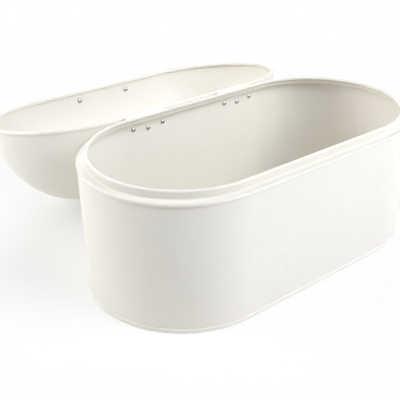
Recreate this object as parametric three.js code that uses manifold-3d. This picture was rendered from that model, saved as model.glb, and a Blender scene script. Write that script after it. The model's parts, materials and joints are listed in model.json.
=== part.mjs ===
// Bread box of painted sheet steel: round-ended body, stepped neck, and a domed lid laid open.
// Lengths are in millimetres. +Z is up, the front faces -Y and the hinges are on the +Y side.
// The origin is the centre of the base's underside.

import * as THREE from 'three';
import { mergeVertices } from 'three/addons/utils/BufferGeometryUtils.js';
import Module from 'manifold-3d';

const wasm = await Module();
wasm.setup();

// Plan and sheet
const wallLength = 419;
const wallWidth = 219;
const sheet = 0.7;
const seatGap = 0.3; // between pieces that touch
const overrun = 5; // how far a cutter runs past what it cuts
const pointTolerance = 0.001; // points closer than this are one point

// Base panel: its edge turns up outside the wall as a low bead
const baseBeadHeight = 6;
const baseCornerRadius = 2.2;

// Shoulder: a flat ledge, then a raised bead whose edge turns down outside the wall
const ledgeHeight = 147;
const shoulderBeadRadius = 2.5;
const shoulderBeadRise = 1.1; // above the ledge
const shoulderBeadDrop = 2.8; // below the ledge

// Neck that the lid drops over
const neckInset = 11.5; // from the wall's face to the neck's face
const neckFilletRadius = 2;
const rimHeight = 10.7; // above the ledge
const rimBeadSize = 4.2;

// Lid
const lidSkirtHeight = 8; // straight part, below the dome
const lidBeadSize = 5.5;

// Hinges
const hingeFromBend = 5.2; // from a leaf's edge to where the straight side ends
const leafSheet = 1.2;
const axisBehindWall = 5.7;
const axisAboveLedge = 3.5;
const knuckleRadius = 3;
const knuckleCount = 5;
const pinRadius = 1.5;
const pinHeadRadius = 2.2;
const pinHeadHeight = 0.8;
const leafStepRise = 1.8; // height over which a leaf steps out to its knuckles
const leafMargin = 4.6; // from a rivet's middle to the leaf's edge
const leafCornerRadius = 3;
const rivetPitch = 20.9;
const middleRivetDrop = 2.7; // how far the middle rivet sits below its neighbours

// Rivets
const rivetShankRadius = 1.6;
const rivetHeadRadius = 2.9;
const rivetHeadHeight = 1.5;
const rivetTailRadius = 2;
const rivetTailHeight = 2.91; // above the leaf

// Handle
const handleSpacing = 78.9; // between its screws
const handleAboveRim = 14.9;
const handleReach = 27; // from the lid to the middle of the bar
const handleBarRadius = 3.8;
const handleFootRadius = 5.6;
const handleFootHeight = 3.5;
const handleFootRimShare = 1 / 3; // the foot's straight rim, of its height
const handleBoreDepth = 9;
const screwShankRadius = 1.7;
const screwHeadRadius = 3.4;
const screwHeadHeight = 2.1;

// Roundness of the facets
const endSteps = 18; // facets in each half-round end
const domeSteps = 12;
const bendStep = Math.PI / 6;
const curlAngle = Math.PI * 19 / 12; // how far a rolled edge or a knuckle wraps round
const turnedSegments = 12;
const leafEdgeSegments = 4;
const domedHeadSteps = 3;
const handleSteps = 24;
const handleSides = 12;
const handleSquareness = 2.7; // exponent of the bar's superellipse, 2 is an ellipse

// Derived sizes
const wallRadius = wallWidth / 2;
const straightHalf = (wallLength - wallWidth) / 2;
const innerRadius = wallRadius - sheet;
const beadMiddleRadius = wallRadius + seatGap + sheet / 2;
const shoulderBeadZ = ledgeHeight + shoulderBeadRise - shoulderBeadRadius;
const axisY = wallRadius + axisBehindWall;
const axisZ = ledgeHeight + axisAboveLedge;

// The lid's rolled rim rests on the shoulder's bead, a little inwards of its middle
const lidCurlRadius = lidBeadSize / 2;
const restReach = shoulderBeadRadius + seatGap + lidCurlRadius;
const restInset = seatGap + sheet - shoulderBeadRadius + lidCurlRadius;
const lidRim = shoulderBeadZ + Math.sqrt(restReach ** 2 - restInset ** 2) - lidCurlRadius;
const lidDomeBase = lidRim + lidSkirtHeight;

// Leaf sizes are measured from the hinge's axis, down the wall
const leafMiddle = axisBehindWall - seatGap - leafSheet / 2;
const leafFace = leafMiddle - leafSheet / 2;
const knuckleMiddleRadius = knuckleRadius - leafSheet / 2;
const knuckleBore = knuckleRadius - leafSheet;
const leafStepEnd = axisAboveLedge + shoulderBeadDrop + seatGap;
const leafPlateTop = leafStepEnd + leafStepRise;
const sideRivetDrop = leafPlateTop + seatGap + rivetTailRadius;
const lowRivetDrop = sideRivetDrop + middleRivetDrop;
const leafHalfWidth = rivetPitch + leafMargin;
const leafEdgeRadius = (rivetPitch ** 2 + middleRivetDrop ** 2) / (2 * middleRivetDrop) + leafMargin;
const hingeMiddle = straightHalf - hingeFromBend - leafHalfWidth; // either side of the box's middle

// The open lid leans back until the tails of the middle rivets meet
const tailRoom = leafFace - rivetTailHeight - seatGap / 2;
const openAngle = Math.PI + 2 * Math.atan2(tailRoom, lowRivetDrop);

// Finishes
const cream = { color: 0xece8db, roughness: 0.45, metalness: 0 };
const steel = { color: 0xc4c6c6, roughness: 0.28, metalness: 1 };
const brightSteel = { color: 0xd2d4d4, roughness: 0.18, metalness: 1 };

function part(name, geometry, finish) {
  const mesh = new THREE.Mesh(geometry, new THREE.MeshStandardMaterial(finish));
  mesh.name = name;
  return mesh;
}

// Solids for joining and cutting

function toSolid(geometry) {
  const plain = geometry.clone();
  plain.deleteAttribute('normal');
  plain.deleteAttribute('uv');
  const merged = mergeVertices(plain);
  return new wasm.Manifold(new wasm.Mesh({
    numProp: 3,
    vertProperties: new Float32Array(merged.attributes.position.array),
    triVerts: new Uint32Array(merged.index.array),
  }));
}

function toGeometry(solid) {
  const mesh = solid.getMesh();
  const geometry = new THREE.BufferGeometry();
  geometry.setAttribute('position', new THREE.BufferAttribute(mesh.vertProperties, 3));
  geometry.setIndex(new THREE.BufferAttribute(mesh.triVerts, 1));
  geometry.computeVertexNormals();
  return geometry;
}

// Sheet metal forms

// Points along an arc, from one angle to another.
function arc(x, y, radius, from, to, step = bendStep) {
  const count = Math.max(1, Math.ceil(Math.abs(to - from) / step));
  return Array.from({ length: count + 1 }, (_, i) => {
    const angle = from + (to - from) * i / count;
    return new THREE.Vector2(x + radius * Math.cos(angle), y + radius * Math.sin(angle));
  });
}

// The outline of a sheet that follows a middle line, anticlockwise. An end at x = 0 stays there.
function sheetOutline(middle, thickness) {
  const line = middle.filter((p, i) => i === 0 || p.distanceTo(middle[i - 1]) > pointTolerance);
  const sides = [[], []];
  line.forEach((point, i) => {
    const before = line[Math.max(i - 1, 0)];
    const after = line[Math.min(i + 1, line.length - 1)];
    const arriving = point.clone().sub(i > 0 ? before : after).normalize();
    const leaving = after.clone().sub(i < line.length - 1 ? point : before).normalize();
    if (i === 0) arriving.copy(leaving);
    if (i === line.length - 1) leaving.copy(arriving);
    const along = arriving.clone().add(leaving).normalize();
    const normal = new THREE.Vector2(-along.y, along.x);
    const reach = thickness / 2 / along.dot(leaving);
    if (point.x === 0) normal.set(0, Math.sign(normal.y));
    sides[0].push(point.clone().addScaledVector(normal, -reach));
    sides[1].push(point.clone().addScaledVector(normal, reach));
  });
  const outline = [...sides[0], ...sides[1].reverse()];
  outline.filter((p) => Math.abs(p.x) < pointTolerance).forEach((p) => { p.x = 0; });
  return THREE.ShapeUtils.area(outline) < 0 ? outline.reverse() : outline;
}

// Carries an outline of radius and height round the plan: two half turns, drawn apart by the sides.
function sweepRound(outline) {
  const ring = [1, -1].flatMap((end) => Array.from({ length: endSteps + 1 }, (_, i) => {
    const angle = Math.PI * (i / endSteps - end / 2);
    return { shift: end * straightHalf, x: Math.cos(angle), y: Math.sin(angle) };
  }));
  const points = outline.flatMap((p) => ring.flatMap((r) => [r.shift + p.x * r.x, p.x * r.y, p.y]));
  const index = [];
  outline.forEach((p, i) => {
    const above = (i + 1) % outline.length;
    if (p.x === 0 && outline[above].x === 0) return;
    ring.forEach((_, j) => {
      const next = (j + 1) % ring.length;
      const corners = [[i, j], [i, next], [above, next], [above, j]].map(([a, b]) => a * ring.length + b);
      index.push(corners[0], corners[1], corners[2], corners[0], corners[2], corners[3]);
    });
  });
  const geometry = new THREE.BufferGeometry();
  geometry.setAttribute('position', new THREE.Float32BufferAttribute(points, 3));
  geometry.setIndex(index);
  return withoutEmptyFaces(mergeVertices(geometry));
}

function withoutEmptyFaces(geometry) {
  const old = geometry.index.array;
  const kept = [];
  for (let i = 0; i < old.length; i += 3) {
    const [a, b, c] = old.subarray(i, i + 3);
    if (a !== b && b !== c && c !== a) kept.push(a, b, c);
  }
  geometry.setIndex(kept);
  geometry.computeVertexNormals();
  return geometry;
}

// Extrudes an outline drawn in y and z along x, from one x to another.
function extrudeAlongX(outline, from, to) {
  const shape = new THREE.Shape(outline);
  const geometry = new THREE.ExtrudeGeometry(shape, { depth: to - from, bevelEnabled: false });
  const turn = new THREE.Matrix4().makeBasis(
    new THREE.Vector3(0, 1, 0),
    new THREE.Vector3(0, 0, 1),
    new THREE.Vector3(1, 0, 0),
  );
  return geometry.applyMatrix4(turn).translate(from, 0, 0);
}

// A turned piece along y, from its lowest to its highest point.
function turned(profile) {
  return withoutEmptyFaces(mergeVertices(plainLathe(profile)));
}

function plainLathe(profile) {
  const geometry = new THREE.LatheGeometry(profile, turnedSegments);
  geometry.deleteAttribute('normal');
  geometry.deleteAttribute('uv');
  return geometry;
}

// A quarter of an ellipse from the edge of a domed head to its crown, or the other way round.
function domedEnd(radius, edge, crown) {
  return Array.from({ length: domedHeadSteps + 1 }, (_, i) => {
    const angle = Math.PI / 2 * i / domedHeadSteps;
    return new THREE.Vector2(i === domedHeadSteps ? 0 : radius * Math.cos(angle),
      edge + (crown - edge) * Math.sin(angle));
  });
}

// A round hole along y through whatever lies between two y values.
function boreAlongY(x, z, radius, from, to) {
  const cutter = new THREE.CylinderGeometry(radius, radius, to - from, turnedSegments);
  return toSolid(cutter.translate(x, (from + to) / 2, z));
}

// Body pieces

function basePanel() {
  const middleHeight = sheet / 2;
  const bend = baseCornerRadius - sheet / 2;
  return sweepRound(sheetOutline([
    new THREE.Vector2(0, middleHeight),
    ...arc(beadMiddleRadius - bend, middleHeight + bend, bend, -Math.PI / 2, 0),
    new THREE.Vector2(beadMiddleRadius, baseBeadHeight),
  ], sheet));
}

function bodyWall(rivets) {
  const middle = wallRadius - sheet / 2;
  const band = toSolid(sweepRound(sheetOutline([
    new THREE.Vector2(middle, baseCornerRadius),
    new THREE.Vector2(middle, shoulderBeadZ - seatGap),
  ], sheet)));
  const pierced = rivets.reduce((wall, rivet) => wall.subtract(
    boreAlongY(rivet.x, rivet.z, rivetShankRadius + seatGap, innerRadius - overrun, wallRadius + overrun),
  ), band);
  return toGeometry(pierced);
}

function neckCollar() {
  const neckMiddle = wallRadius - neckInset - sheet / 2;
  const ledgeMiddle = ledgeHeight - sheet / 2;
  const curl = (rimBeadSize - sheet) / 2;
  const curlZ = ledgeHeight + rimHeight - rimBeadSize / 2;
  const fillet = neckFilletRadius + sheet / 2;
  const bead = shoulderBeadRadius - sheet / 2;
  const beadStart = Math.PI - Math.asin((ledgeMiddle - shoulderBeadZ) / bead);
  return sweepRound(sheetOutline([
    ...arc(neckMiddle + curl, curlZ, curl, Math.PI - curlAngle, Math.PI),
    ...arc(neckMiddle + fillet, ledgeMiddle + fillet, fillet, Math.PI, Math.PI * 3 / 2),
    ...arc(beadMiddleRadius - bead, shoulderBeadZ, bead, beadStart, 0),
    new THREE.Vector2(beadMiddleRadius, ledgeHeight - shoulderBeadDrop),
  ], sheet));
}

// Lid, drawn shut

function lidShell(rivets, screws) {
  const middle = wallRadius - sheet / 2;
  const curl = lidCurlRadius - sheet / 2;
  const domeStep = Math.PI / 2 / domeSteps;
  const dome = arc(0, lidDomeBase, middle, 0, Math.PI / 2, domeStep);
  dome[dome.length - 1].x = 0;
  const shell = toSolid(sweepRound(sheetOutline([
    ...arc(middle - curl, lidRim + lidCurlRadius, curl, -curlAngle, 0),
    ...dome,
  ], sheet)));
  const rearCuts = rivets.map((rivet) => boreAlongY(rivet.x, rivet.z, rivetShankRadius + seatGap,
    innerRadius - overrun, wallRadius + overrun));
  const frontCuts = screws.map((screw) => boreAlongY(screw.x, screw.z, screwShankRadius + seatGap,
    -wallRadius - overrun, -innerRadius + overrun));
  return toGeometry([...rearCuts, ...frontCuts].reduce((lid, cut) => lid.subtract(cut), shell));
}

// How far the inside of the lid's long wall stands from the middle, at a height.
function lidInnerFace(height) {
  const rise = Math.max(0, height - lidDomeBase);
  return Math.sqrt(innerRadius ** 2 - rise ** 2);
}

// Hinges

// A leaf hanging down from the hinge's axis, flat on a wall on its -y side.
function hingeLeaf(ownsEndKnuckles) {
  const curled = sheetOutline([
    new THREE.Vector2(-leafMiddle, -lowRivetDrop - leafMargin - overrun),
    new THREE.Vector2(-leafMiddle, -leafPlateTop),
    new THREE.Vector2(-knuckleMiddleRadius, -leafStepEnd),
    ...arc(0, 0, knuckleMiddleRadius, Math.PI, Math.PI - curlAngle),
  ], leafSheet);
  const strip = toSolid(extrudeAlongX(curled, -leafHalfWidth, leafHalfWidth));
  const blank = strip.intersect(toSolid(leafBlank()));
  const bores = [-1, 0, 1].map((side) => boreAlongY(side * rivetPitch,
    side === 0 ? -lowRivetDrop : -sideRivetDrop, rivetShankRadius + seatGap,
    -axisBehindWall - overrun, overrun));
  const cuts = [...bores, ...knuckleNotches(ownsEndKnuckles ? 1 : 0)];
  return toGeometry(cuts.reduce((leaf, cut) => leaf.subtract(cut), blank));
}

// The leaf's outline seen from behind. Its lower edge runs parallel to the arc through the rivets.
function leafBlank() {
  const edgeCentre = leafEdgeRadius - lowRivetDrop - leafMargin;
  const sweep = Math.asin((leafHalfWidth - leafCornerRadius) / leafEdgeRadius);
  const cornerZ = edgeCentre - Math.sqrt(leafEdgeRadius ** 2 - leafHalfWidth ** 2);
  const top = knuckleRadius + overrun;
  const outline = new THREE.Shape();
  outline.moveTo(leafHalfWidth + overrun, top);
  outline.lineTo(-leafHalfWidth - overrun, top);
  outline.lineTo(-leafHalfWidth - overrun, cornerZ + leafCornerRadius);
  outline.lineTo(-leafHalfWidth, cornerZ + leafCornerRadius);
  outline.quadraticCurveTo(-leafHalfWidth, cornerZ,
    -leafEdgeRadius * Math.sin(sweep), edgeCentre - leafEdgeRadius * Math.cos(sweep));
  outline.absarc(0, edgeCentre, leafEdgeRadius, -Math.PI / 2 - sweep, -Math.PI / 2 + sweep, false);
  outline.quadraticCurveTo(leafHalfWidth, cornerZ, leafHalfWidth, cornerZ + leafCornerRadius);
  outline.lineTo(leafHalfWidth + overrun, cornerZ + leafCornerRadius);
  const depth = axisBehindWall + knuckleRadius + 2 * overrun;
  const options = { depth, bevelEnabled: false, curveSegments: leafEdgeSegments };
  const geometry = new THREE.ExtrudeGeometry(outline, options);
  return geometry.rotateX(Math.PI / 2).translate(0, knuckleRadius + overrun, 0);
}

// Room for the other leaf's knuckles: every second place, from the first or the second.
function knuckleNotches(first) {
  const pitch = 2 * leafHalfWidth / knuckleCount;
  const height = leafPlateTop + knuckleRadius + overrun;
  const depth = 2 * (knuckleRadius + overrun);
  const notches = [];
  for (let place = first; place < knuckleCount; place += 2) {
    const box = new THREE.BoxGeometry(pitch + seatGap, depth, height);
    const x = -leafHalfWidth + (place + 1 / 2) * pitch;
    notches.push(toSolid(box.translate(x, 0, height / 2 - leafPlateTop)));
  }
  return notches;
}

// The pin runs along x, with a small head beyond each end knuckle.
function hingePin() {
  const shoulder = leafHalfWidth + seatGap;
  const crown = shoulder + pinHeadHeight;
  const profile = [
    ...domedEnd(pinHeadRadius, -shoulder, -crown).reverse(),
    new THREE.Vector2(pinRadius, -shoulder),
    new THREE.Vector2(pinRadius, shoulder),
    ...domedEnd(pinHeadRadius, shoulder, crown),
  ];
  return turned(profile).rotateZ(-Math.PI / 2);
}

// A rivet along y: a domed head before the inner face, a bulged tail behind the outer face.
function rivet(innerFace, outerFace) {
  return turned([
    ...domedEnd(rivetHeadRadius, innerFace - seatGap, innerFace - seatGap - rivetHeadHeight).reverse(),
    new THREE.Vector2(rivetShankRadius, innerFace - seatGap),
    new THREE.Vector2(rivetShankRadius, outerFace + seatGap),
    ...domedEnd(rivetTailRadius, outerFace + seatGap, outerFace + rivetTailHeight),
  ]);
}

// The places of a hinge's three rivets, above or below the axis.
function rivetPlaces(hingeX, upward) {
  return [-1, 0, 1].map((side) => ({
    x: hingeX + side * rivetPitch,
    z: axisZ + upward * (side === 0 ? lowRivetDrop : sideRivetDrop),
  }));
}

// Handle

// The bar's middle line in plan: a squared arch that leaves the lid at right angles.
class BowCurve extends THREE.Curve {
  getPoint(t, target = new THREE.Vector3()) {
    const angle = Math.PI * (1 - t);
    const power = 2 / handleSquareness;
    const across = Math.sign(Math.cos(angle)) * Math.abs(Math.cos(angle)) ** power;
    const out = Math.abs(Math.sin(angle)) ** power;
    const foot = handleFootHeight / 2;
    return target.set(across * handleSpacing / 2, -foot - (handleReach - foot) * out, 0);
  }
}

function handleBow() {
  const turn = Math.PI * 2;
  const circle = arc(0, 0, handleBarRadius, 0, turn, turn / handleSides);
  circle.pop(); // the last point repeats the first
  const section = new THREE.Shape(circle);
  const bar = toSolid(new THREE.ExtrudeGeometry(section, { extrudePath: new BowCurve(), steps: handleSteps }));
  return toGeometry([-1, 1].reduce((bow, side) => {
    const x = side * handleSpacing / 2;
    const foot = turned([
      new THREE.Vector2(0, -handleFootHeight),
      new THREE.Vector2(handleBarRadius, -handleFootHeight),
      new THREE.Vector2(handleFootRadius, -handleFootHeight * handleFootRimShare),
      new THREE.Vector2(handleFootRadius, 0),
      new THREE.Vector2(0, 0),
    ]).translate(x, 0, 0);
    const bore = boreAlongY(x, 0, screwShankRadius + seatGap, -handleBoreDepth, overrun);
    return bow.add(toSolid(foot)).subtract(bore);
  }, bar));
}

// A screw along y from inside the lid's front wall into the handle's foot.
function handleScrew(headSeat, tip) {
  return turned([
    new THREE.Vector2(0, tip),
    new THREE.Vector2(screwShankRadius, tip),
    new THREE.Vector2(screwShankRadius, headSeat),
    ...domedEnd(screwHeadRadius, headSeat, headSeat + screwHeadHeight),
  ]);
}

// Assembly

const hinges = { left: -hingeMiddle, right: hingeMiddle };
const rivetNames = ['a', 'b', 'c'];
const bodyRivets = Object.values(hinges).flatMap((x) => rivetPlaces(x, -1));
const lidRivets = Object.values(hinges).flatMap((x) => rivetPlaces(x, 1));
const handleScrews = [-1, 1].map((side) => ({ x: side * handleSpacing / 2, z: lidRim + handleAboveRim }));

const breadBox = new THREE.Group();
breadBox.add(part('base_panel', basePanel(), cream));
breadBox.add(part('body_wall', bodyWall(bodyRivets), cream));
breadBox.add(part('neck_collar', neckCollar(), cream));

// The lid is drawn shut and turned open about the hinges' axis
const lidPivot = new THREE.Group();
lidPivot.position.set(0, axisY, axisZ);
lidPivot.rotation.x = -openAngle;
breadBox.add(lidPivot);
const lid = new THREE.Group();
lid.position.set(0, -axisY, -axisZ);
lidPivot.add(lid);
lid.add(part('lid_shell', lidShell(lidRivets, handleScrews), cream));

for (const [side, x] of Object.entries(hinges)) {
  const bodyLeaf = part(`hinge_${side}_body_leaf`, hingeLeaf(true), steel);
  bodyLeaf.position.set(x, axisY, axisZ);
  breadBox.add(bodyLeaf);
  const lidLeaf = part(`hinge_${side}_lid_leaf`, hingeLeaf(false), steel);
  lidLeaf.position.set(x, axisY, axisZ);
  lidLeaf.rotation.y = Math.PI;
  lid.add(lidLeaf);
  const pin = part(`hinge_${side}_pin`, hingePin(), steel);
  pin.position.set(x, axisY, axisZ);
  breadBox.add(pin);
  rivetPlaces(x, -1).forEach((place, i) => {
    const piece = part(`body_rivet_${side}_${rivetNames[i]}`, rivet(innerRadius, axisY - leafFace), brightSteel);
    piece.position.set(place.x, 0, place.z);
    breadBox.add(piece);
  });
  rivetPlaces(x, 1).forEach((place, i) => {
    const innerFace = lidInnerFace(place.z + rivetHeadRadius);
    const piece = part(`lid_rivet_${side}_${rivetNames[i]}`, rivet(innerFace, axisY - leafFace), brightSteel);
    piece.position.set(place.x, 0, place.z);
    lid.add(piece);
  });
}

const handle = part('handle_bow', handleBow(), brightSteel);
handle.position.set(0, -wallRadius - seatGap, lidRim + handleAboveRim);
lid.add(handle);
handleScrews.forEach((place, i) => {
  const seat = -lidInnerFace(place.z + screwHeadRadius) + seatGap;
  const tip = -wallRadius - handleBoreDepth + seatGap;
  const piece = part(`handle_screw_${['left', 'right'][i]}`, handleScrew(seat, tip), brightSteel);
  piece.position.set(place.x, 0, place.z);
  lid.add(piece);
});

export default breadBox;
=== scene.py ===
# Bread box of painted sheet steel with its lid laid open: the finish of every piece, light and camera.
# Lengths are in metres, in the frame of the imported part: +Z up, front towards -Y, hinges towards +Y.

import json
import math

import bmesh
import bpy
from mathutils import Matrix, Vector

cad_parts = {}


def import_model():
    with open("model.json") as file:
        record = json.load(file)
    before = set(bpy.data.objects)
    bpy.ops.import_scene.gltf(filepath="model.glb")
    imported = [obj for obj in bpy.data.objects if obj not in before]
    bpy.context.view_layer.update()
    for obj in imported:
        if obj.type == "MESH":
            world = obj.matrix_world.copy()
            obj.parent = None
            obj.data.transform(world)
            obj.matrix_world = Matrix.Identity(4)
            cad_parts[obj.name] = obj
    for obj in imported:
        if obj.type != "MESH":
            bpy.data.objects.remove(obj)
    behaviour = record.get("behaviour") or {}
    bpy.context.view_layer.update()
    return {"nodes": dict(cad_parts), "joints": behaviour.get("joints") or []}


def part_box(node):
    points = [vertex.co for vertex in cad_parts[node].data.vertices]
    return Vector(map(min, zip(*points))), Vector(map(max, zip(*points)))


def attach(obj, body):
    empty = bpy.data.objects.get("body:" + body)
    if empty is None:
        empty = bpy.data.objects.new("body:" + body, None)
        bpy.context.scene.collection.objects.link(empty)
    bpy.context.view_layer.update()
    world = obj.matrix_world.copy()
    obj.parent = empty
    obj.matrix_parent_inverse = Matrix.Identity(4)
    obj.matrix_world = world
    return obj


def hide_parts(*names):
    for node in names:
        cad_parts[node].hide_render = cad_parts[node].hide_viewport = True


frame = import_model()

# Plan and sheet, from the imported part
wall_low, wall_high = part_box("body_wall")
_, base_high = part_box("base_panel")
collar_low, collar_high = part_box("neck_collar")
WALL_RADIUS = wall_high.y
STRAIGHT_HALF = wall_high.x - wall_high.y
BEAD_RADIUS = base_high.y
SHEET = 0.0007
BEAD_MIDDLE = BEAD_RADIUS - SHEET / 2

# Base panel and body wall
BASE_BEAD_HEIGHT = base_high.z
BASE_CORNER = 0.0022
BASE_OVER = 0.0014
BASE_OVER_END = math.radians(70)
WALL_FOOT = wall_low.z
WALL_TOP = wall_high.z

# Neck collar: raised bead round the shoulder, flat ledge, upright neck and a rim rolled inwards
SHOULDER_FOOT = collar_low.z + 0.0009
SHOULDER_TOP = SHOULDER_FOOT + 0.00375
LEDGE = SHOULDER_TOP - 0.00045
SHOULDER_ROUND = 0.0022
SHOULDER_TURN_IN = 0.0005
SHOULDER_TURN = math.radians(60)
CREASE_ROUND = 0.0012
NECK_INSET = 0.008
NECK_FILLET = 0.0015
RIM_TOP = collar_high.z - 0.00002
RIM_BEAD = 0.0042

# Lid
LID_LIFT = 0.0004
LID_SKIRT = 0.0098
LID_BEAD = 0.0055
LID_BEAD_STAND_OUT = 0.0015
LID_BEAD_LEAN = math.radians(60)
LID_WALL_RADIUS = WALL_RADIUS - LID_BEAD_STAND_OUT
CURL_ANGLE = math.radians(285)

# Hinges, measured from their axis
LEAF_SHEET = 0.0012
LEAF_MIDDLE = 0.0048
KNUCKLE_MIDDLE = 0.0024
LEAF_STEP_END = 0.0066
LEAF_PLATE_TOP = 0.0084
KNUCKLE_COUNT = 5
KNUCKLE_GAP = 0.0003
LEAF_MARGIN = 0.0046
BODY_LEAF_DROP = 0.0011
LEAF_CORNER = 0.003
RIVET_PITCH = 0.0209
MIDDLE_RIVET_DROP = 0.0027
LOW_RIVET_DROP = 0.0134
LEAF_HALF = RIVET_PITCH + LEAF_MARGIN
LEAF_BEVEL = 0.00018

# Fasteners and handle
RIVET_HEAD_HEIGHT = 0.0015
RIVET_SEAT_GAP = 0.0003
RIVET_TAIL_HEIGHT = 0.00261
PIN_RADIUS = 0.0015
PIN_HEAD_HEIGHT = 0.0008
BAR_RADIUS = 0.0038
FOOT_RADIUS = 0.0056
FOOT_FLARE = 0.0035
HANDLE_SQUARENESS = 2.7
SCREW_HEAD_HEIGHT = 0.0021
FOOT_SINK = 0.00095

# Fineness of the meshes
END_STEPS = 72
FINE_STEP = math.radians(10)
DOME_STEP = math.radians(1.9)
TURNED_STEPS = 40
SHARP_ANGLE = math.radians(38)

# The lid is drawn shut and turned open about the hinges' axis, as the frame has it at rest
joint = frame["joints"][0]
axis_point = Vector(joint["pos_m"])
open_turn = math.radians(-joint["range_deg"][1])
OPENED = Matrix.Translation(axis_point) @ Matrix.Rotation(open_turn, 4, "X") @ Matrix.Translation(-axis_point)
SHUT = OPENED.inverted()
UNMOVED = Matrix.Identity(4)


def node_box(node, matrix=UNMOVED):
    """Lowest and highest corner of a solid after a matrix has turned it."""
    points = [matrix @ v.co for v in frame["nodes"][node].data.vertices]
    low = Vector([min(p[i] for p in points) for i in range(3)])
    high = Vector([max(p[i] for p in points) for i in range(3)])
    return low, high


# Outlines


def arc(x, y, radius, start, end, step=FINE_STEP):
    count = max(1, math.ceil(abs(end - start) / step - 1e-6))
    angles = [start + (end - start) * i / count for i in range(count + 1)]
    return [Vector((x + radius * math.cos(a), y + radius * math.sin(a))) for a in angles]


def sheet_outline(middle, thickness):
    """The closed outline of a sheet along its middle line. An end off the centre line is rounded."""
    line = [p for i, p in enumerate(middle) if i == 0 or (p - middle[i - 1]).length > 1e-7]
    last = len(line) - 1
    left, right = [], []
    for i, point in enumerate(line):
        leaving = (line[min(i + 1, last)] - line[min(i, last - 1)]).normalized()
        arriving = (line[max(i, 1)] - line[max(i - 1, 0)]).normalized()
        along = (arriving + leaving).normalized()
        normal = Vector((-along.y, along.x))
        reach = thickness / 2 / along.dot(leaving)
        if point.x == 0:
            normal = Vector((0, math.copysign(1, normal.y)))
        left.append(point + normal * reach)
        right.append(point - normal * reach)
    end_cap = [] if line[-1].x == 0 else rounded_end(line[-1], left[-1], thickness)
    start_cap = [] if line[0].x == 0 else rounded_end(line[0], right[0], thickness)
    return left + end_cap + right[::-1] + start_cap


def rounded_end(centre, start, thickness):
    angle = math.atan2(start.y - centre.y, start.x - centre.x)
    return arc(centre.x, centre.y, thickness / 2, angle, angle - math.pi, math.radians(30))[1:-1]


# Meshes


def plan_ring():
    """Shifts and directions round the plan: two half turns, with extra steps along the straight sides."""
    straight_shares = (0.985, 0.8, 0.4, 0, -0.4, -0.8, -0.985)
    ring = []
    for end in (1, -1):
        for i in range(END_STEPS + 1):
            angle = math.pi * (i / END_STEPS - end / 2)
            ring.append((end * STRAIGHT_HALF, math.cos(angle), math.sin(angle)))
        ring += [(end * share * STRAIGHT_HALF, 0, end) for share in straight_shares]
    return ring


def swept_round(outline):
    """Carries an outline of radius and height round the plan."""
    bm = bmesh.new()
    ring = plan_ring()
    rows = [[bm.verts.new((shift + p.x * c, p.x * s, p.y)) for shift, c, s in ring] for p in outline]
    for i, p in enumerate(outline):
        above = (i + 1) % len(outline)
        if p.x == 0 and outline[above].x == 0:
            continue
        for j in range(len(ring)):
            k = (j + 1) % len(ring)
            bm.faces.new((rows[i][j], rows[i][k], rows[above][k], rows[above][j]))
    bmesh.ops.remove_doubles(bm, verts=bm.verts, dist=1e-7)
    bmesh.ops.dissolve_degenerate(bm, edges=bm.edges, dist=1e-7)
    bmesh.ops.recalc_face_normals(bm, faces=bm.faces)
    return bm


def turned(profile, steps=TURNED_STEPS):
    """Turns a profile of radius and height about the y axis. It starts and ends on the axis."""
    bm = bmesh.new()
    turns = [2 * math.pi * i / steps for i in range(steps)]
    rows = [[bm.verts.new((p.x * math.cos(t), p.y, p.x * math.sin(t))) for t in turns] for p in profile]
    for lower, upper in zip(rows, rows[1:]):
        for j in range(steps):
            k = (j + 1) % steps
            bm.faces.new((lower[j], lower[k], upper[k], upper[j]))
    bmesh.ops.remove_doubles(bm, verts=bm.verts, dist=1e-8)
    bmesh.ops.dissolve_degenerate(bm, edges=bm.edges, dist=1e-8)
    bmesh.ops.recalc_face_normals(bm, faces=bm.faces)
    return bm


def piece(name, bm, body, nodes, material, place=UNMOVED):
    """Makes an object of a mesh, puts it in place and lets it ride on its body instead of its solids."""
    bm.transform(place)
    mesh = bpy.data.meshes.new(name)
    bm.to_mesh(mesh)
    bm.free()
    mesh.polygons.foreach_set("use_smooth", [True] * len(mesh.polygons))
    mesh.set_sharp_from_angle(angle=SHARP_ANGLE)
    mesh.materials.append(material)
    made = bpy.data.objects.new(name, mesh)
    bpy.context.scene.collection.objects.link(made)
    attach(made, body)
    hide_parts(*nodes)
    return made


# Nodes for materials


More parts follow.
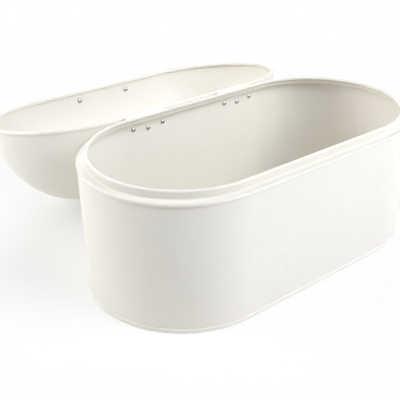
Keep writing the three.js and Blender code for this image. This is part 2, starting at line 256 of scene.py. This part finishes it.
class Shade:
    """A material's node tree, with short calls for the nodes used here."""

    def __init__(self, name):
        self.material = bpy.data.materials.new(name)
        self.material.use_nodes = True
        self.tree = self.material.node_tree
        self.tree.nodes.clear()
        self.output = self.add("ShaderNodeOutputMaterial")

    def add(self, kind, **settings):
        node = self.tree.nodes.new(kind)
        for key, value in settings.items():
            setattr(node, key, value)
        return node

    def join(self, source, target):
        self.tree.links.new(source, target)
        return source

    def position(self, stretch=(1, 1, 1)):
        coordinates = self.add("ShaderNodeTexCoord")
        mapping = self.add("ShaderNodeMapping")
        mapping.inputs["Scale"].default_value = stretch
        self.join(coordinates.outputs["Object"], mapping.inputs["Vector"])
        return mapping.outputs["Vector"]

    def noise(self, vector, scale, detail=2.0, roughness=0.5):
        node = self.add("ShaderNodeTexNoise")
        node.inputs["Scale"].default_value = scale
        node.inputs["Detail"].default_value = detail
        node.inputs["Roughness"].default_value = roughness
        self.join(vector, node.inputs["Vector"])
        return node.outputs["Fac"]

    def spread(self, value, low, high, from_low=0.0, from_high=1.0):
        node = self.add("ShaderNodeMapRange")
        node.inputs["From Min"].default_value = from_low
        node.inputs["From Max"].default_value = from_high
        node.inputs["To Min"].default_value = low
        node.inputs["To Max"].default_value = high
        self.join(value, node.inputs["Value"])
        return node.outputs["Result"]

    def math(self, operation, first, second):
        node = self.add("ShaderNodeMath", operation=operation)
        for socket, value in zip(node.inputs, (first, second)):
            if isinstance(value, (int, float)):
                socket.default_value = value
            else:
                self.join(value, socket)
        return node.outputs["Value"]

    def mix(self, share, first, second):
        node = self.add("ShaderNodeMix", data_type="RGBA")
        self.join(share, node.inputs["Factor"])
        for socket, value in ((node.inputs[6], first), (node.inputs[7], second)):
            if isinstance(value, tuple):
                socket.default_value = (*value, 1)
            else:
                self.join(value, socket)
        return node.outputs[2]

    def bump(self, height, distance, strength=1.0, normal=None):
        node = self.add("ShaderNodeBump")
        node.inputs["Distance"].default_value = distance
        node.inputs["Strength"].default_value = strength
        self.join(height, node.inputs["Height"])
        if normal is not None:
            self.join(normal, node.inputs["Normal"])
        return node.outputs["Normal"]

    def edges(self):
        """One where the surface bends outwards sharply, nought elsewhere."""
        geometry = self.add("ShaderNodeNewGeometry")
        return self.spread(geometry.outputs["Pointiness"], 0, 1, from_low=0.505, from_high=0.56)


def linear(red, green, blue):
    """A colour as it is seen, from 0 to 255, in the shader's linear values."""
    def channel(value):
        share = value / 255
        return share / 12.92 if share <= 0.04045 else ((share + 0.055) / 1.055) ** 2.4
    return (channel(red), channel(green), channel(blue))


# Materials


def cream_coat():
    """Satin powder coat on pressed steel: a fine grain, faint mottling and specks, and slightly rubbed edges."""
    shade = Shade("cream_coat")
    place = shade.position()
    mottle = shade.noise(place, scale=7)
    speck = shade.noise(place, scale=900)
    body_colour = shade.mix(mottle, linear(240, 237, 227), linear(242, 239, 230))
    speck_share = shade.spread(speck, 0, 0.35, from_low=0.62, from_high=0.78)
    speckled = shade.mix(speck_share, body_colour, linear(231, 227, 216))
    patches = shade.spread(shade.noise(place, scale=160, detail=4), 0, 0.5, from_low=0.45, from_high=0.7)
    rub = shade.math("MULTIPLY", shade.edges(), patches)
    colour = shade.mix(rub, speckled, linear(245, 243, 236))
    smear = shade.noise(shade.position((1, 1, 3)), scale=22, detail=4, roughness=0.6)
    roughness = shade.spread(smear, 0.39, 0.43, from_low=0.3, from_high=0.7)
    grain = shade.noise(place, scale=1500, detail=3, roughness=0.6)
    grained = shade.bump(grain, distance=0.00003, strength=0.35)
    peel = shade.noise(place, scale=320, detail=1)
    peeled = shade.bump(peel, distance=0.00006, strength=0.3, normal=grained)
    wave = shade.noise(place, scale=6, detail=1)
    normal = shade.bump(wave, distance=0.0002, strength=0.08, normal=peeled)
    shader = shade.add("ShaderNodeBsdfPrincipled")
    shader.inputs["IOR"].default_value = 1.5
    shade.join(colour, shader.inputs["Base Color"])
    shade.join(roughness, shader.inputs["Roughness"])
    shade.join(normal, shader.inputs["Normal"])
    shade.join(shader.outputs["BSDF"], shade.output.inputs["Surface"])
    return shade.material


def metal(name, colour, dark, rough, brushed, scratch_depth):
    """Bare or plated steel with fine scratches along one direction, patchy in tone and lighter on its worn sharp
    edges.
    """
    shade = Shade(name)
    place = shade.position()
    lines = shade.noise(shade.position(brushed), scale=900, detail=5, roughness=0.7)
    cloud = shade.noise(place, scale=220, detail=3)
    tone = shade.mix(shade.spread(cloud, 0, 0.6, from_low=0.35, from_high=0.7), colour, dark)
    worn = shade.mix(shade.math("MULTIPLY", shade.edges(), 0.4), tone, tuple(min(1, c * 1.12) for c in colour))
    blotch = shade.noise(place, scale=90, detail=4)
    smudge = shade.spread(blotch, rough * 0.8, rough * 1.35, from_low=0.3, from_high=0.7)
    shader = shade.add("ShaderNodeBsdfPrincipled")
    shader.inputs["Metallic"].default_value = 1
    shade.join(worn, shader.inputs["Base Color"])
    shade.join(smudge, shader.inputs["Roughness"])
    shade.join(shade.bump(lines, distance=scratch_depth, strength=0.4), shader.inputs["Normal"])
    shade.join(shader.outputs["BSDF"], shade.output.inputs["Surface"])
    return shade.material


CREAM = cream_coat()
HINGE_STEEL = metal("hinge_steel", linear(214, 211, 204), linear(192, 190, 184), 0.42, (0.12, 1, 1), 0.00002)
BRIGHT_STEEL = metal("bright_steel", linear(198, 198, 196), linear(160, 160, 158), 0.2, (1, 1, 1), 0.000008)
HANDLE_CHROME = metal("handle_chrome", linear(222, 223, 224), linear(210, 211, 213), 0.09, (0.15, 1, 1), 0.000004)


# Body shells


def base_panel():
    """A flat floor whose edge turns up and is rounded over towards the wall."""
    bend = BASE_CORNER - SHEET / 2
    inner_edge = BEAD_RADIUS - SHEET
    outside = [
        Vector((0, 0)),
        *arc(BEAD_RADIUS - BASE_CORNER, BASE_CORNER, BASE_CORNER, -math.pi / 2, 0),
        *arc(BEAD_RADIUS - BASE_OVER, BASE_BEAD_HEIGHT - BASE_OVER, BASE_OVER, 0, BASE_OVER_END),
    ]
    inside = [
        Vector((outside[-1].x, outside[-1].y - SHEET / 2)),
        Vector((inner_edge, BASE_BEAD_HEIGHT - BASE_OVER)),
        *arc(inner_edge + SHEET / 2 - bend, BASE_CORNER, bend - SHEET / 2, 0, -math.pi / 2),
        Vector((0, SHEET)),
    ]
    return swept_round(outside + inside)


def body_wall():
    middle = WALL_RADIUS - SHEET / 2
    return swept_round(sheet_outline([Vector((middle, WALL_FOOT)), Vector((middle, WALL_TOP))], SHEET))


def neck_collar():
    """A rim rolled inwards, an upright neck, a flat ledge and a bead whose edge turns in to the wall."""
    neck_middle = WALL_RADIUS - NECK_INSET - SHEET / 2
    ledge_middle = LEDGE - SHEET / 2
    curl = (RIM_BEAD - SHEET) / 2
    fillet = NECK_FILLET + SHEET / 2
    bead = SHOULDER_ROUND - SHEET / 2
    bead_x = BEAD_MIDDLE - bead
    bead_z = SHOULDER_TOP - SHOULDER_ROUND
    crease = CREASE_ROUND + SHEET / 2
    crease_z = ledge_middle + crease
    meeting = math.acos((crease_z - bead_z) / (bead + crease))
    crease_x = bead_x - (bead + crease) * math.sin(meeting)
    turn_z = SHOULDER_FOOT + SHEET / 2 + SHOULDER_TURN_IN * math.sin(SHOULDER_TURN)
    down = -math.pi / 2
    return swept_round(sheet_outline([
        *arc(neck_middle - curl, RIM_TOP - RIM_BEAD / 2, curl, CURL_ANGLE, 0),
        *arc(neck_middle + fillet, ledge_middle + fillet, fillet, math.pi, math.pi * 3 / 2),
        *arc(crease_x, crease_z, crease, down, down + meeting),
        *arc(bead_x, bead_z, bead, math.pi / 2 + meeting, 0),
        *arc(BEAD_MIDDLE - SHOULDER_TURN_IN, turn_z, SHOULDER_TURN_IN, 0, -SHOULDER_TURN),
    ], SHEET))


def lid_shell():
    """The lid as it is drawn shut, from its rolled rim, which stands out beyond the wall, to the crown."""
    rim = node_box("lid_shell", SHUT)[0].z + LID_LIFT
    dome_base = rim + LID_SKIRT
    curl_z = rim + LID_BEAD / 2
    middle = LID_WALL_RADIUS - SHEET / 2
    curl = (LID_BEAD - SHEET) / 2
    curl_x = WALL_RADIUS - LID_BEAD / 2
    bead_end = Vector((curl_x + curl * math.cos(LID_BEAD_LEAN), curl_z + curl * math.sin(LID_BEAD_LEAN)))
    corner = Vector((middle, bead_end.y + (bead_end.x - middle) / math.tan(LID_BEAD_LEAN)))
    foot = corner + Vector((0, (bead_end - corner).length))
    crease = [bead_end.lerp(corner, s).lerp(corner.lerp(foot, s), s) for s in (0.2, 0.4, 0.6, 0.8, 1)]
    dome = arc(0, dome_base, middle, 0, math.pi / 2, DOME_STEP)
    dome[-1].x = 0
    return swept_round(sheet_outline([
        *arc(curl_x, curl_z, curl, LID_BEAD_LEAN - CURL_ANGLE, LID_BEAD_LEAN),
        *crease,
        foot.lerp(dome[0], 0.5),
        *dome,
    ], SHEET))


# Hinges


def leaf_bottom(x):
    """How far below the axis a leaf's lower edge lies: an arc parallel to the one through the rivets."""
    edge_radius = (RIVET_PITCH ** 2 + MIDDLE_RIVET_DROP ** 2) / (2 * MIDDLE_RIVET_DROP) + LEAF_MARGIN
    centre = edge_radius - LOW_RIVET_DROP - LEAF_MARGIN
    bottom = centre - math.sqrt(edge_radius ** 2 - x ** 2)
    into_corner = abs(x) - (LEAF_HALF - LEAF_CORNER)
    if into_corner > 0:
        bottom += LEAF_CORNER - math.sqrt(max(0, LEAF_CORNER ** 2 - into_corner ** 2))
    return bottom


def leaf_columns(fingers):
    """The x places of a leaf's columns: both sides of each finger, and even steps between them."""
    pitch = 2 * LEAF_HALF / KNUCKLE_COUNT
    stops = {-LEAF_HALF, LEAF_HALF}
    for finger in fingers:
        start = -LEAF_HALF + finger * pitch
        stops.add(max(-LEAF_HALF, start + KNUCKLE_GAP / 2))
        stops.add(min(LEAF_HALF, start + pitch - KNUCKLE_GAP / 2))
    stops = sorted(stops)
    columns = []
    for low, high in zip(stops, stops[1:]):
        count = max(1, round((high - low) / 0.0012))
        columns += [low + (high - low) * i / count for i in range(count)]
    columns.append(LEAF_HALF)
    corner_steps = (0.15, 0.4, 0.7)
    extra = [side * (LEAF_HALF - LEAF_CORNER * share ** 2) for side in (-1, 1) for share in corner_steps]
    return sorted(set(columns) | set(extra))


def hinge_leaf(fingers, stand_off, drop):
    """A leaf hanging down from the axis: a stepped strip whose fingers curl round the pin."""
    pitch = 2 * LEAF_HALF / KNUCKLE_COUNT
    plate_middle = LEAF_MIDDLE + stand_off
    plate_top = LEAF_PLATE_TOP + drop
    plate_rows = 8
    step_rows = 8
    step = []
    for i in range(1, step_rows + 1):
        share = i / step_rows
        smooth = share * share * (3 - 2 * share)
        out = plate_middle + (KNUCKLE_MIDDLE - plate_middle) * smooth
        step.append((-out, -plate_top + (plate_top - LEAF_STEP_END) * share))
    curl = [(p.x, p.y) for p in arc(0, 0, KNUCKLE_MIDDLE, math.pi, math.pi - CURL_ANGLE)]
    finger_line = step + [(-KNUCKLE_MIDDLE, -LEAF_STEP_END / 2)] + curl

    def finger_of(x):
        for finger in fingers:
            start = -LEAF_HALF + finger * pitch
            if start - KNUCKLE_GAP < x < start + pitch + KNUCKLE_GAP:
                low = max(-LEAF_HALF, start + KNUCKLE_GAP / 2)
                high = min(LEAF_HALF, start + pitch - KNUCKLE_GAP / 2)
                if low - 1e-9 <= x <= high + 1e-9:
                    return finger
        return None

    bm = bmesh.new()
    columns = leaf_columns(fingers)
    plate, curled = [], []
    for x in columns:
        bottom = leaf_bottom(x) - drop
        heights = [bottom + (-plate_top - bottom) * i / plate_rows for i in range(plate_rows + 1)]
        plate.append([bm.verts.new((x, -plate_middle, z)) for z in heights])
        owner = finger_of(x)
        curled.append(None if owner is None else [bm.verts.new((x, y, z)) for y, z in finger_line])
    for i in range(len(columns) - 1):
        for j in range(plate_rows):
            bm.faces.new((plate[i][j], plate[i + 1][j], plate[i + 1][j + 1], plate[i][j + 1]))
        owner = finger_of(columns[i])
        if owner is None or owner != finger_of(columns[i + 1]):
            continue
        first = [plate[i][-1]] + curled[i]
        second = [plate[i + 1][-1]] + curled[i + 1]
        for j in range(len(finger_line)):
            bm.faces.new((first[j], second[j], second[j + 1], first[j + 1]))
    return thickened(bm, LEAF_SHEET, LEAF_BEVEL)


def thickened(bm, thickness, bevel):
    """Gives a sheet its thickness about its middle and softens its edges."""
    mesh = bpy.data.meshes.new("sheet")
    bm.to_mesh(mesh)
    bm.free()
    holder = bpy.data.objects.new("sheet", mesh)
    bpy.context.scene.collection.objects.link(holder)
    solidify = holder.modifiers.new("thickness", "SOLIDIFY")
    solidify.thickness = thickness
    solidify.offset = 0
    solidify.use_even_offset = True
    softened = holder.modifiers.new("edges", "BEVEL")
    softened.width = bevel
    softened.segments = 2
    softened.limit_method = "ANGLE"
    softened.angle_limit = math.radians(50)
    return evaluated(holder)


def evaluated(holder):
    """The mesh of an object with its modifiers applied. The object is removed."""
    depsgraph = bpy.context.evaluated_depsgraph_get()
    result = bmesh.new()
    result.from_mesh(holder.evaluated_get(depsgraph).to_mesh())
    mesh = holder.data
    bpy.data.objects.remove(holder)
    bpy.data.meshes.remove(mesh)
    return result


def hinge_pin(half_length, radius, head_radius):
    """A pin along y with a small domed head at either end."""
    shoulder = half_length - PIN_HEAD_HEIGHT
    lower = [Vector((head_radius * math.sin(a), -shoulder - PIN_HEAD_HEIGHT * math.cos(a)))
             for a in [math.pi / 2 * i / 8 for i in range(9)]]
    lower[0].x = 0
    half = lower + [Vector((radius, -shoulder + 0.00002)), Vector((radius, -shoulder / 2))]
    return turned(half + [Vector((p.x, -p.y)) for p in half[::-1]])


# Fasteners


def rivet(low, high):
    """A blind rivet along y: a domed head with the mandrel's hole in it, and a bulged tail behind."""
    head_radius = 0.0029
    hole_radius = 0.00095
    hole_depth = 0.0013
    shank = 0.0016
    tail_radius = 0.002
    seat = low + RIVET_HEAD_HEIGHT + RIVET_SEAT_GAP
    tail = high - RIVET_TAIL_HEIGHT - RIVET_SEAT_GAP
    head = seat - low

    def dome(radius):
        return seat - head * math.sqrt(1 - (radius / head_radius) ** 2 * 0.9)

    lip = 0.00018
    steps = 9
    radii = [hole_radius + lip + (head_radius - hole_radius - lip) * (i / steps) for i in range(steps + 1)]
    edge = dome(head_radius)
    profile = [
        Vector((0, low + hole_depth - 0.0003)),
        Vector((hole_radius * 0.6, low + hole_depth - 0.00024)),
        Vector((hole_radius * 0.92, low + hole_depth)),
        Vector((hole_radius, low + hole_depth * 0.8)),
        Vector((hole_radius, dome(hole_radius) + lip)),
        Vector((hole_radius + lip * 0.3, dome(hole_radius) + lip * 0.3)),
        *[Vector((r, dome(r))) for r in radii],
        *[Vector((head_radius, edge + (seat - edge) * share)) for share in (0.3, 0.7, 1)],
        Vector((shank, seat)),
        Vector((shank, tail)),
        Vector((tail_radius * 0.97, tail + 0.00006)),
        Vector((tail_radius, tail + 0.0004)),
        Vector((tail_radius, tail + 0.0012)),
        Vector((tail_radius * 0.93, tail + 0.0017)),
        Vector((tail_radius * 0.74, tail + 0.00205)),
        Vector((tail_radius * 0.62, tail + 0.00212)),
        *[Vector((tail_radius * 0.6 * math.cos(a), tail + 0.00215 + (high - tail - 0.00215) * math.sin(a)))
          for a in [math.pi / 2 * i / 6 for i in range(7)]],
    ]
    profile[-1].x = 0
    return turned(profile)


def handle_screw(low, high):
    """A screw along y with a pan head and a crossed recess. The head is at the high end."""
    shank = 0.0017
    head_radius = 0.0034
    seat = high - SCREW_HEAD_HEIGHT - 0.0004
    rim = 0.0006
    crown = high
    steps = 10
    dome = [Vector((head_radius * math.cos(a), seat + rim + (crown - seat - rim) * math.sin(a)))
            for a in [math.pi / 2 * i / steps for i in range(steps + 1)]]
    dome[-1].x = 0
    body = turned([Vector((0, low)), Vector((shank, low)), Vector((shank, seat)),
                   Vector((head_radius * 0.96, seat)), Vector((head_radius, seat + 0.0001)), *dome])
    return recessed(body, crown)


def recessed(bm, crown):
    """Cuts a tapered cross into the top of a screw's head."""
    arm = 0.0019
    half_width = 0.00048
    depth = 0.0014
    taper = 0.55
    mesh = bpy.data.meshes.new("head")
    bm.to_mesh(mesh)
    bm.free()
    holder = bpy.data.objects.new("head", mesh)
    bpy.context.scene.collection.objects.link(holder)
    cutters = []
    for turn in (0, math.pi / 2):
        cutter = bmesh.new()
        bmesh.ops.create_cube(cutter, size=1)
        for v in cutter.verts:
            outside = v.co.y > 0
            share = 1 if outside else taper
            v.co = Vector((v.co.x * 2 * arm * share, crown + (0.001 if outside else -depth),
                           v.co.z * 2 * half_width * (1 if outside else 0.8)))
        cutter.transform(Matrix.Rotation(turn, 4, "Y"))
        cut_mesh = bpy.data.meshes.new("cross")
        cutter.to_mesh(cut_mesh)
        cutter.free()
        cut = bpy.data.objects.new("cross", cut_mesh)
        bpy.context.scene.collection.objects.link(cut)
        boolean = holder.modifiers.new("cross", "BOOLEAN")
        boolean.operation = "DIFFERENCE"
        boolean.solver = "EXACT"
        boolean.object = cut
        cutters.append(cut)
    result = evaluated(holder)
    for cut in cutters:
        bpy.data.objects.remove(cut)
    return result


# Handle


def handle_path(half_spacing, start, reach):
    """Points of the bar's middle line from one foot to the other, closer together near the feet."""
    power = 2 / HANDLE_SQUARENESS
    dense = 1200
    points = [Vector((half_spacing, -start, 0)), Vector((half_spacing, 0, 0))]
    for i in range(1, dense):
        angle = math.pi * i / dense
        across = math.copysign(abs(math.cos(angle)) ** power, math.cos(angle))
        points.append(Vector((across * half_spacing, -reach * math.sin(angle) ** power, 0)))
    points += [Vector((-half_spacing, 0, 0)), Vector((-half_spacing, -start, 0))]
    lengths = [0]
    for a, b in zip(points, points[1:]):
        lengths.append(lengths[-1] + (b - a).length)
    total = lengths[-1]
    fine = 0.0003
    near = 0.0066
    coarse = 0.0014
    stops = [fine * i for i in range(int(near / fine))]
    middle_count = int((total - 2 * near) / coarse)
    stops += [near + (total - 2 * near) * i / middle_count for i in range(middle_count + 1)]
    stops += [total - s for s in stops[:int(near / fine)]][::-1]
    path, k = [], 0
    for stop in stops:
        while k < len(lengths) - 2 and lengths[k + 1] < stop:
            k += 1
        share = (stop - lengths[k]) / max(1e-12, lengths[k + 1] - lengths[k])
        path.append((points[k].lerp(points[k + 1], min(1, max(0, share))), stop, total))
    return path


def handle_bow(half_spacing, start, reach):
    """A round bar bent to a squared bow, flared into a round foot at either end."""
    bm = bmesh.new()
    sides = 28
    path = handle_path(half_spacing, start, reach)
    rows = []
    for i, (point, along, total) in enumerate(path):
        ahead = path[min(i + 1, len(path) - 1)][0] - path[max(i - 1, 0)][0]
        direction = ahead.normalized()
        across = Vector((-direction.y, direction.x, 0))
        from_foot = min(along, total - along) - start
        share = min(1, max(0, (from_foot - FOOT_FLARE * 0.34) / (FOOT_FLARE * 0.8)))
        radius = FOOT_RADIUS + (BAR_RADIUS - FOOT_RADIUS) * share * share * (3 - 2 * share)
        turns = [2 * math.pi * j / sides for j in range(sides)]
        rows.append([bm.verts.new(point + across * radius * math.cos(t) + Vector((0, 0, radius * math.sin(t))))
                     for t in turns])
    for first, second in zip(rows, rows[1:]):
        for j in range(sides):
            k = (j + 1) % sides
            bm.faces.new((first[j], first[k], second[k], second[j]))
    bm.faces.new(rows[0][::-1])
    bm.faces.new(rows[-1])
    bmesh.ops.recalc_face_normals(bm, faces=bm.faces)
    return bm


# The pieces on their bodies

piece("base_panel_skin", base_panel(), "body", ["base_panel"], CREAM)
piece("body_wall_skin", body_wall(), "body", ["body_wall"], CREAM)
piece("neck_collar_skin", neck_collar(), "body", ["neck_collar"], CREAM)
piece("lid_shell_skin", lid_shell(), "lid", ["lid_shell"], CREAM, OPENED)

BODY_RIVET_SHIFT = Vector((0, 0, -BODY_LEAF_DROP))
LID_RIVET_SHIFT = Vector((0, -LID_BEAD_STAND_OUT, 0))
for side in ("left", "right"):
    pin_low, pin_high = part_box(f"hinge_{side}_pin")
    hinge_x = (pin_low.x + pin_high.x) / 2
    on_axis = Matrix.Translation((hinge_x, axis_point.y, axis_point.z))
    body_leaf = hinge_leaf((0, 2, 4), stand_off=0, drop=BODY_LEAF_DROP)
    piece(f"hinge_{side}_body_leaf_skin", body_leaf, "body", [f"hinge_{side}_body_leaf"],
          HINGE_STEEL, on_axis)
    lid_leaf = hinge_leaf((1, 3), stand_off=LID_BEAD_STAND_OUT, drop=0)
    piece(f"hinge_{side}_lid_leaf_skin", lid_leaf, "lid", [f"hinge_{side}_lid_leaf"],
          HINGE_STEEL, OPENED @ on_axis @ Matrix.Rotation(math.pi, 4, "Y"))
    pin = hinge_pin((pin_high.x - pin_low.x) / 2, PIN_RADIUS, (pin_high.z - pin_low.z) / 2)
    piece(f"hinge_{side}_pin_skin", pin, "body", [f"hinge_{side}_pin"], HINGE_STEEL,
          on_axis @ Matrix.Rotation(math.pi / 2, 4, "Z"))
    for letter in "abc":
        for body, shift, shut, opened in (("body", BODY_RIVET_SHIFT, UNMOVED, UNMOVED),
                                          ("lid", LID_RIVET_SHIFT, SHUT, OPENED)):
            node = f"{body}_rivet_{side}_{letter}"
            low, high = node_box(node, shut)
            centre = (low + high) / 2
            piece(f"{node}_skin", rivet(low.y, high.y), body, [node], BRIGHT_STEEL,
                  opened @ Matrix.Translation(Vector((centre.x, 0, centre.z)) + shift))

bow_low, bow_high = node_box("handle_bow", SHUT)
bow_seat = bow_high.y + LID_BEAD_STAND_OUT
bow_z = (bow_low.z + bow_high.z) / 2
bow_half = (bow_high.x - bow_low.x) / 2 - FOOT_RADIUS
bow_reach = bow_high.y - bow_low.y - BAR_RADIUS - 0.0001
piece("handle_bow_skin", handle_bow(bow_half, -FOOT_SINK, bow_reach), "lid", ["handle_bow"],
      HANDLE_CHROME, OPENED @ Matrix.Translation((0, bow_seat, bow_z)))
for side in ("left", "right"):
    node = f"handle_screw_{side}"
    low, high = node_box(node, SHUT)
    centre = (low + high) / 2
    piece(f"{node}_skin", handle_screw(low.y, high.y), "lid", [node], BRIGHT_STEEL,
          OPENED @ Matrix.Translation((centre.x, LID_BEAD_STAND_OUT, centre.z)))


# Floor, world, lamps and camera


def seen_directly(shade):
    """One for rays from the camera and for those seen in a gloss or through glass."""
    path = shade.add("ShaderNodeLightPath")
    either = shade.math("MAXIMUM", path.outputs["Is Camera Ray"], path.outputs["Is Glossy Ray"])
    return shade.math("MAXIMUM", either, path.outputs["Is Transmission Ray"])


def floor():
    """A pale floor that keeps the box's shadow and goes white away from it. The white is a painted glow, seen by
    the camera and in a gloss. It is weakest near a point just behind the box towards its left end, so it lightens
    the shadow least there and paints the shadow out farther away.
    """
    half = 8
    painted_glow_at_darkest = 0.44
    painted_glow_nearby = 0.76
    darkest = (-0.12, 0.12, 0)
    bm = bmesh.new()
    bmesh.ops.create_grid(bm, x_segments=8, y_segments=8, size=half)
    mesh = bpy.data.meshes.new("floor")
    bm.to_mesh(mesh)
    bm.free()
    shade = Shade("floor")
    coordinates = shade.position()
    away = shade.add("ShaderNodeVectorMath", operation="DISTANCE")
    away.inputs[1].default_value = darkest
    shade.join(coordinates, away.inputs[0])
    # Share of painted white glow: lowest near the darkest point, it rises with distance and lightens the lamps'
    # shadow away from the box.
    near = shade.spread(away.outputs["Value"], painted_glow_at_darkest, painted_glow_nearby, from_low=0.1, from_high=0.2)
    far = shade.spread(away.outputs["Value"], 0, 1 - painted_glow_nearby, from_low=0.35, from_high=0.9)
    painted_glow_share = shade.math("ADD", near, far)
    share = shade.math("MULTIPLY", painted_glow_share, seen_directly(shade))
    diffuse = shade.add("ShaderNodeBsdfDiffuse")
    grain = shade.noise(coordinates, scale=60, detail=3)
    shade.join(shade.mix(grain, (0.91, 0.9, 0.88), (0.94, 0.93, 0.91)), diffuse.inputs["Color"])
    white = shade.add("ShaderNodeEmission")
    blend = shade.add("ShaderNodeMixShader")
    shade.join(share, blend.inputs["Fac"])
    shade.join(diffuse.outputs["BSDF"], blend.inputs[1])
    shade.join(white.outputs["Emission"], blend.inputs[2])
    shade.join(blend.outputs["Shader"], shade.output.inputs["Surface"])
    mesh.materials.append(shade.material)
    made = bpy.data.objects.new("floor", mesh)
    bpy.context.scene.collection.objects.link(made)


def world():
    """A white surrounding to the eye and in a gloss, which gives no light of its own."""
    made = bpy.data.worlds.new("studio")
    bpy.context.scene.world = made
    made.use_nodes = True
    tree = made.node_tree
    tree.nodes.clear()
    output = tree.nodes.new("ShaderNodeOutputWorld")
    background = tree.nodes.new("ShaderNodeBackground")
    path = tree.nodes.new("ShaderNodeLightPath")
    either = tree.nodes.new("ShaderNodeMath")
    either.operation = "MAXIMUM"
    seen = tree.nodes.new("ShaderNodeMath")
    seen.operation = "MAXIMUM"
    tree.links.new(path.outputs["Is Camera Ray"], either.inputs[0])
    tree.links.new(path.outputs["Is Glossy Ray"], either.inputs[1])
    tree.links.new(either.outputs[0], seen.inputs[0])
    tree.links.new(path.outputs["Is Transmission Ray"], seen.inputs[1])
    tree.links.new(seen.outputs[0], background.inputs["Strength"])
    tree.links.new(background.outputs["Background"], output.inputs["Surface"])
    background.inputs["Color"].default_value = (1, 1, 1, 1)


def softbox(name, azimuth, elevation, power, colour):
    """A square lamp aimed at the box. Its place is its angle from the front towards the right, and its rise."""
    aim = Vector((0, 0, 0.08))
    distance = 1.9
    side = 1.1
    turn, rise = math.radians(azimuth), math.radians(elevation)
    towards = Vector((math.cos(rise) * math.sin(turn), -math.cos(rise) * math.cos(turn), math.sin(rise)))
    lamp = bpy.data.lights.new(name, "AREA")
    lamp.shape = "RECTANGLE"
    lamp.size = side
    lamp.size_y = side
    lamp.energy = power
    lamp.color = colour
    made = bpy.data.objects.new(name, lamp)
    bpy.context.scene.collection.objects.link(made)
    made.location = aim + distance * towards
    made.rotation_mode = "QUATERNION"
    made.rotation_quaternion = (-towards).to_track_quat("-Z", "Y")


def camera():
    """The photograph's viewpoint: an ordinary level lens looking down at the box's near end."""
    place = Vector((-0.48731, -0.527635, 0.445252))
    yaw, pitch, roll = math.radians(37.84), math.radians(28.235), math.radians(-0.732)
    lens = 61.783
    forward = Vector((math.sin(yaw) * math.cos(pitch), math.cos(yaw) * math.cos(pitch), -math.sin(pitch)))
    level_right = Vector((math.cos(yaw), -math.sin(yaw), 0))
    level_up = level_right.cross(forward)
    right = math.cos(roll) * level_right + math.sin(roll) * level_up
    up = -math.sin(roll) * level_right + math.cos(roll) * level_up
    data = bpy.data.cameras.new("camera")
    data.lens = lens
    data.sensor_width = 36
    data.sensor_fit = "HORIZONTAL"
    data.clip_start = 0.02
    data.clip_end = 60
    made = bpy.data.objects.new("camera", data)
    bpy.context.scene.collection.objects.link(made)
    turn = Matrix((right, up, -forward)).transposed()
    made.matrix_world = Matrix.Translation(place) @ turn.to_4x4()
    bpy.context.scene.camera = made


floor()
world()
softbox("front_right_softbox", 30, 25, 11.4, (1, 1, 1.04))
softbox("raised_front_right_softbox", 30, 45, 20.2, (0.98, 1.01, 1.09))
softbox("back_right_softbox", 150, 25, 11, (0.98, 0.98, 1.12))
softbox("rear_left_softbox", 210, 25, 5.6, (1.01, 1, 0.98))
softbox("back_left_softbox", 240, 25, 18.2, (1.01, 1, 1))
softbox("high_back_left_softbox", 240, 68, 3, (0.94, 0.98, 1.05))
softbox("high_front_left_softbox", 300, 68, 6, (0.97, 0.98, 1.02))
camera()
bpy.context.scene.view_settings.view_transform = "Standard"
